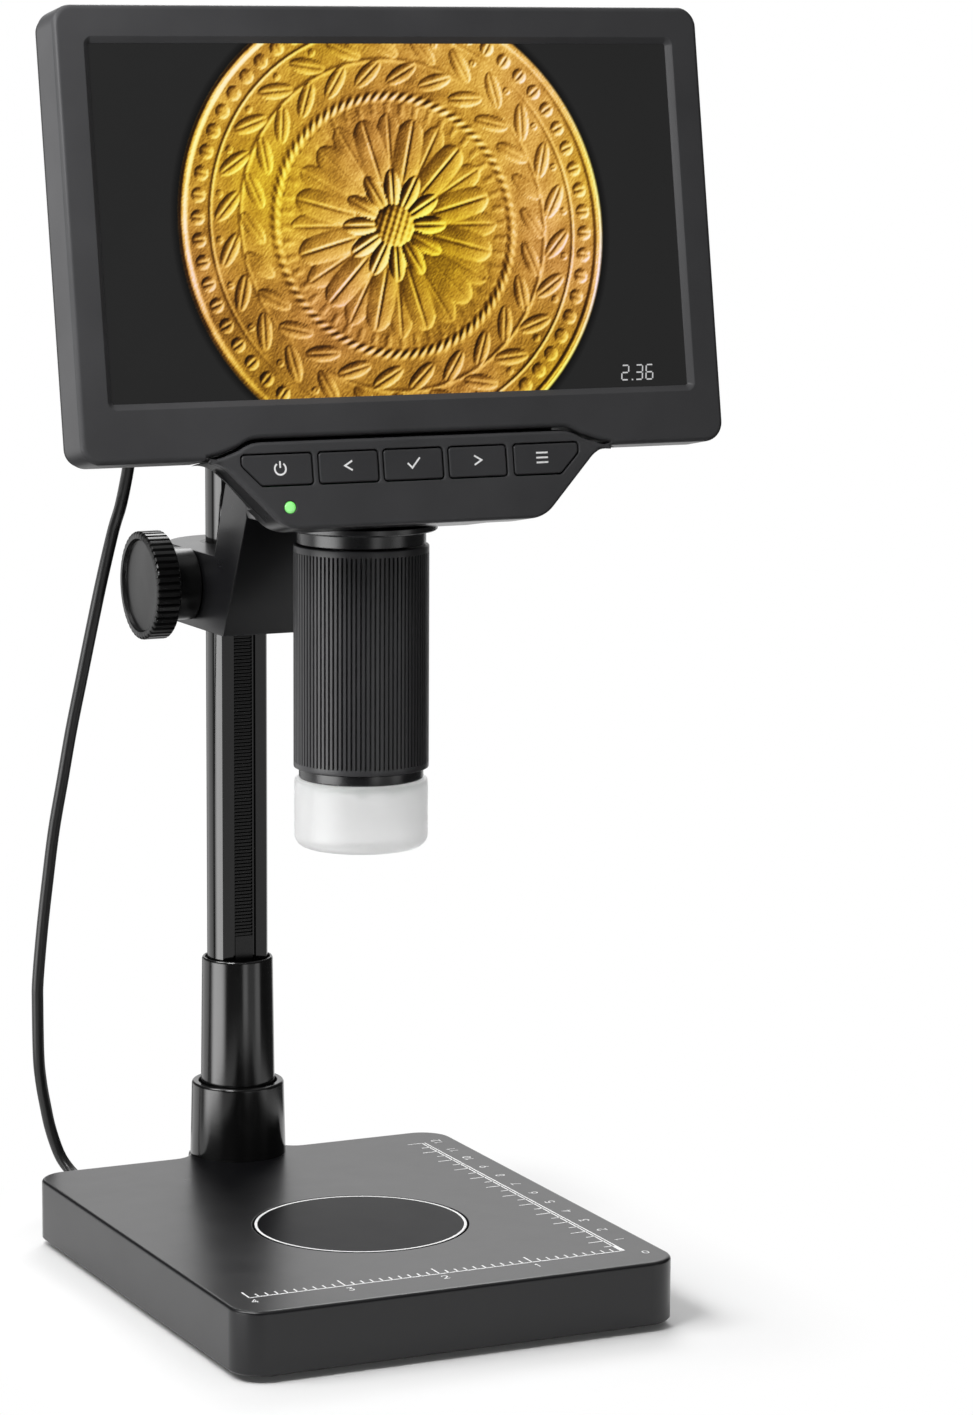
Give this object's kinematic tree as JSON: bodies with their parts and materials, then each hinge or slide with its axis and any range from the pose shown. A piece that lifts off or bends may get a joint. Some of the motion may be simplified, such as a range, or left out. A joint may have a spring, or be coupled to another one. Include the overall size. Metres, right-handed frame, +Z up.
{
  "type": "lcd digital microscope",
  "caption": "Digital microscope: tilting wide screen with key panel and ribbed focus barrel on a rack-and-pinion column above a weighing base with rulers.",
  "frame": {"origin": "on the bench under the middle of the whole object, without its cable", "axes": "+Z up, +X to the right of a person facing the screen, the screen faces -Y, the column stands at +Y"},
  "size_m": [0.172, 0.1746, 0.3271],
  "materials": {
    "satin_black_plastic": "satin, fine grain",
    "dark_plastic": "satin",
    "steel": "machined",
    "dark_steel": "black oxide",
    "rubber": "matt",
    "pan_black": "smooth, slightly glossy",
    "sheet_steel": "satin",
    "aluminium": "milled",
    "circuit_board": "solder mask",
    "collar_black": "semi-gloss",
    "gloss_black_metal": "gloss anodised",
    "rack_black": "oiled black",
    "arm_black": "satin, fine grain",
    "acetal": "smooth black",
    "brass": "turned",
    "knob_black": "satin",
    "bezel_grey": "satin, fine grain",
    "button_grey": "satin",
    "green_light": "lit lens",
    "barrel_black": "satin anodised",
    "ribbed_black": "satin anodised",
    "lens_glass": "coated",
    "frosted_white": "frosted translucent",
    "screen": "lit screen behind glass",
    "battery_wrap": "foil pouch",
    "cable_black": "satin jacket"
  },
  "bodies": {
    "stand": {"base_housing": "satin_black_plastic", "base_bottom_plate": "dark_plastic", "base_plate_screws": "steel", "rubber_feet": "rubber", "weighing_pan": "pan_black", "pan_carrier": "sheet_steel", "load_cell": "aluminium", "load_cell_screws": "steel", "scale_board": "circuit_board", "base_socket": "steel", "lower_collar": "collar_black", "upper_collar": "collar_black", "column_rod": "gloss_black_metal", "gear_rack": "rack_black", "column_cap": "dark_plastic", "column_bolt": "steel", "cable": "cable_black", "base_plug": "cable_black"},
    "head": {"carriage_arm": "arm_black", "guide_sleeve": "acetal", "friction_pad": "brass", "tension_screw": "dark_steel", "pinion_bushes": "brass", "head_housing": "arm_black", "head_cover": "dark_plastic", "head_cover_screws": "dark_steel", "control_panel": "bezel_grey", "button_board": "circuit_board", "status_light": "green_light", "hinge_pin": "steel", "head_socket": "steel", "barrel_mount": "barrel_black", "lens_tube": "barrel_black", "camera_board": "circuit_board", "light_ring": "circuit_board", "light_shade": "frosted_white", "head_plug": "cable_black"},
    "drive": {"pinion_shaft": "steel", "left_knob": "knob_black", "right_knob": "knob_black", "knob_screws": "dark_steel"},
    "focus": {"focus_ring": "ribbed_black"},
    "optics": {"lens_cell": "dark_plastic", "objective_lens": "lens_glass"},
    "display": {"display_bezel": "bezel_grey", "display_back": "dark_plastic", "screen_glass": "screen", "lcd_panel": "sheet_steel", "main_board": "circuit_board", "battery": "battery_wrap", "back_screws": "dark_steel"},
    "power_key": {"power_button": "button_grey"},
    "left_key": {"left_button": "button_grey"},
    "ok_key": {"ok_button": "button_grey"},
    "right_key": {"right_button": "button_grey"},
    "menu_key": {"menu_button": "button_grey"}
  },
  "joints": [
    {"name": "head_slide", "type": "slide", "parent": "stand", "child": "head", "axis": [0, 0, 1], "range_m": [-0.092, 0.06]},
    {"name": "knob_turn", "type": "hinge", "parent": "head", "child": "drive", "pos_m": [0, 0.0526, 0.1765], "axis": [1, 0, 0], "range_deg": [-460, 705]},
    {"name": "focus_turn", "type": "hinge", "parent": "head", "child": "focus", "pos_m": [0, -0.018, 0.165], "axis": [0, 0, 1], "range_deg": [-135, 135]},
    {"name": "lens_shift", "type": "slide", "parent": "head", "child": "optics", "axis": [0, 0, 1], "range_m": [-0.0031, 0.0031]},
    {"name": "screen_tilt", "type": "hinge", "parent": "head", "child": "display", "pos_m": [0, -0.0372, 0.22164], "axis": [-1, 0, 0], "range_deg": [0, 30]},
    {"name": "power_press", "type": "slide", "parent": "head", "child": "power_key", "axis": [0, 0.9857, -0.1685], "range_m": [0, 0.0008], "stiffness_N_per_m": 1200},
    {"name": "left_press", "type": "slide", "parent": "head", "child": "left_key", "axis": [0, 0.9857, -0.1685], "range_m": [0, 0.0008], "stiffness_N_per_m": 1200},
    {"name": "ok_press", "type": "slide", "parent": "head", "child": "ok_key", "axis": [0, 0.9857, -0.1685], "range_m": [0, 0.0008], "stiffness_N_per_m": 1200},
    {"name": "right_press", "type": "slide", "parent": "head", "child": "right_key", "axis": [0, 0.9857, -0.1685], "range_m": [0, 0.0008], "stiffness_N_per_m": 1200},
    {"name": "menu_press", "type": "slide", "parent": "head", "child": "menu_key", "axis": [0, 0.9857, -0.1685], "range_m": [0, 0.0008], "stiffness_N_per_m": 1200}
  ],
  "couplings": [
    {"joint": "knob_turn", "follows": "head_slide", "rad_per_m": -133.33},
    {"joint": "lens_shift", "follows": "focus_turn", "m_per_rad": 0.00127}
  ]
}
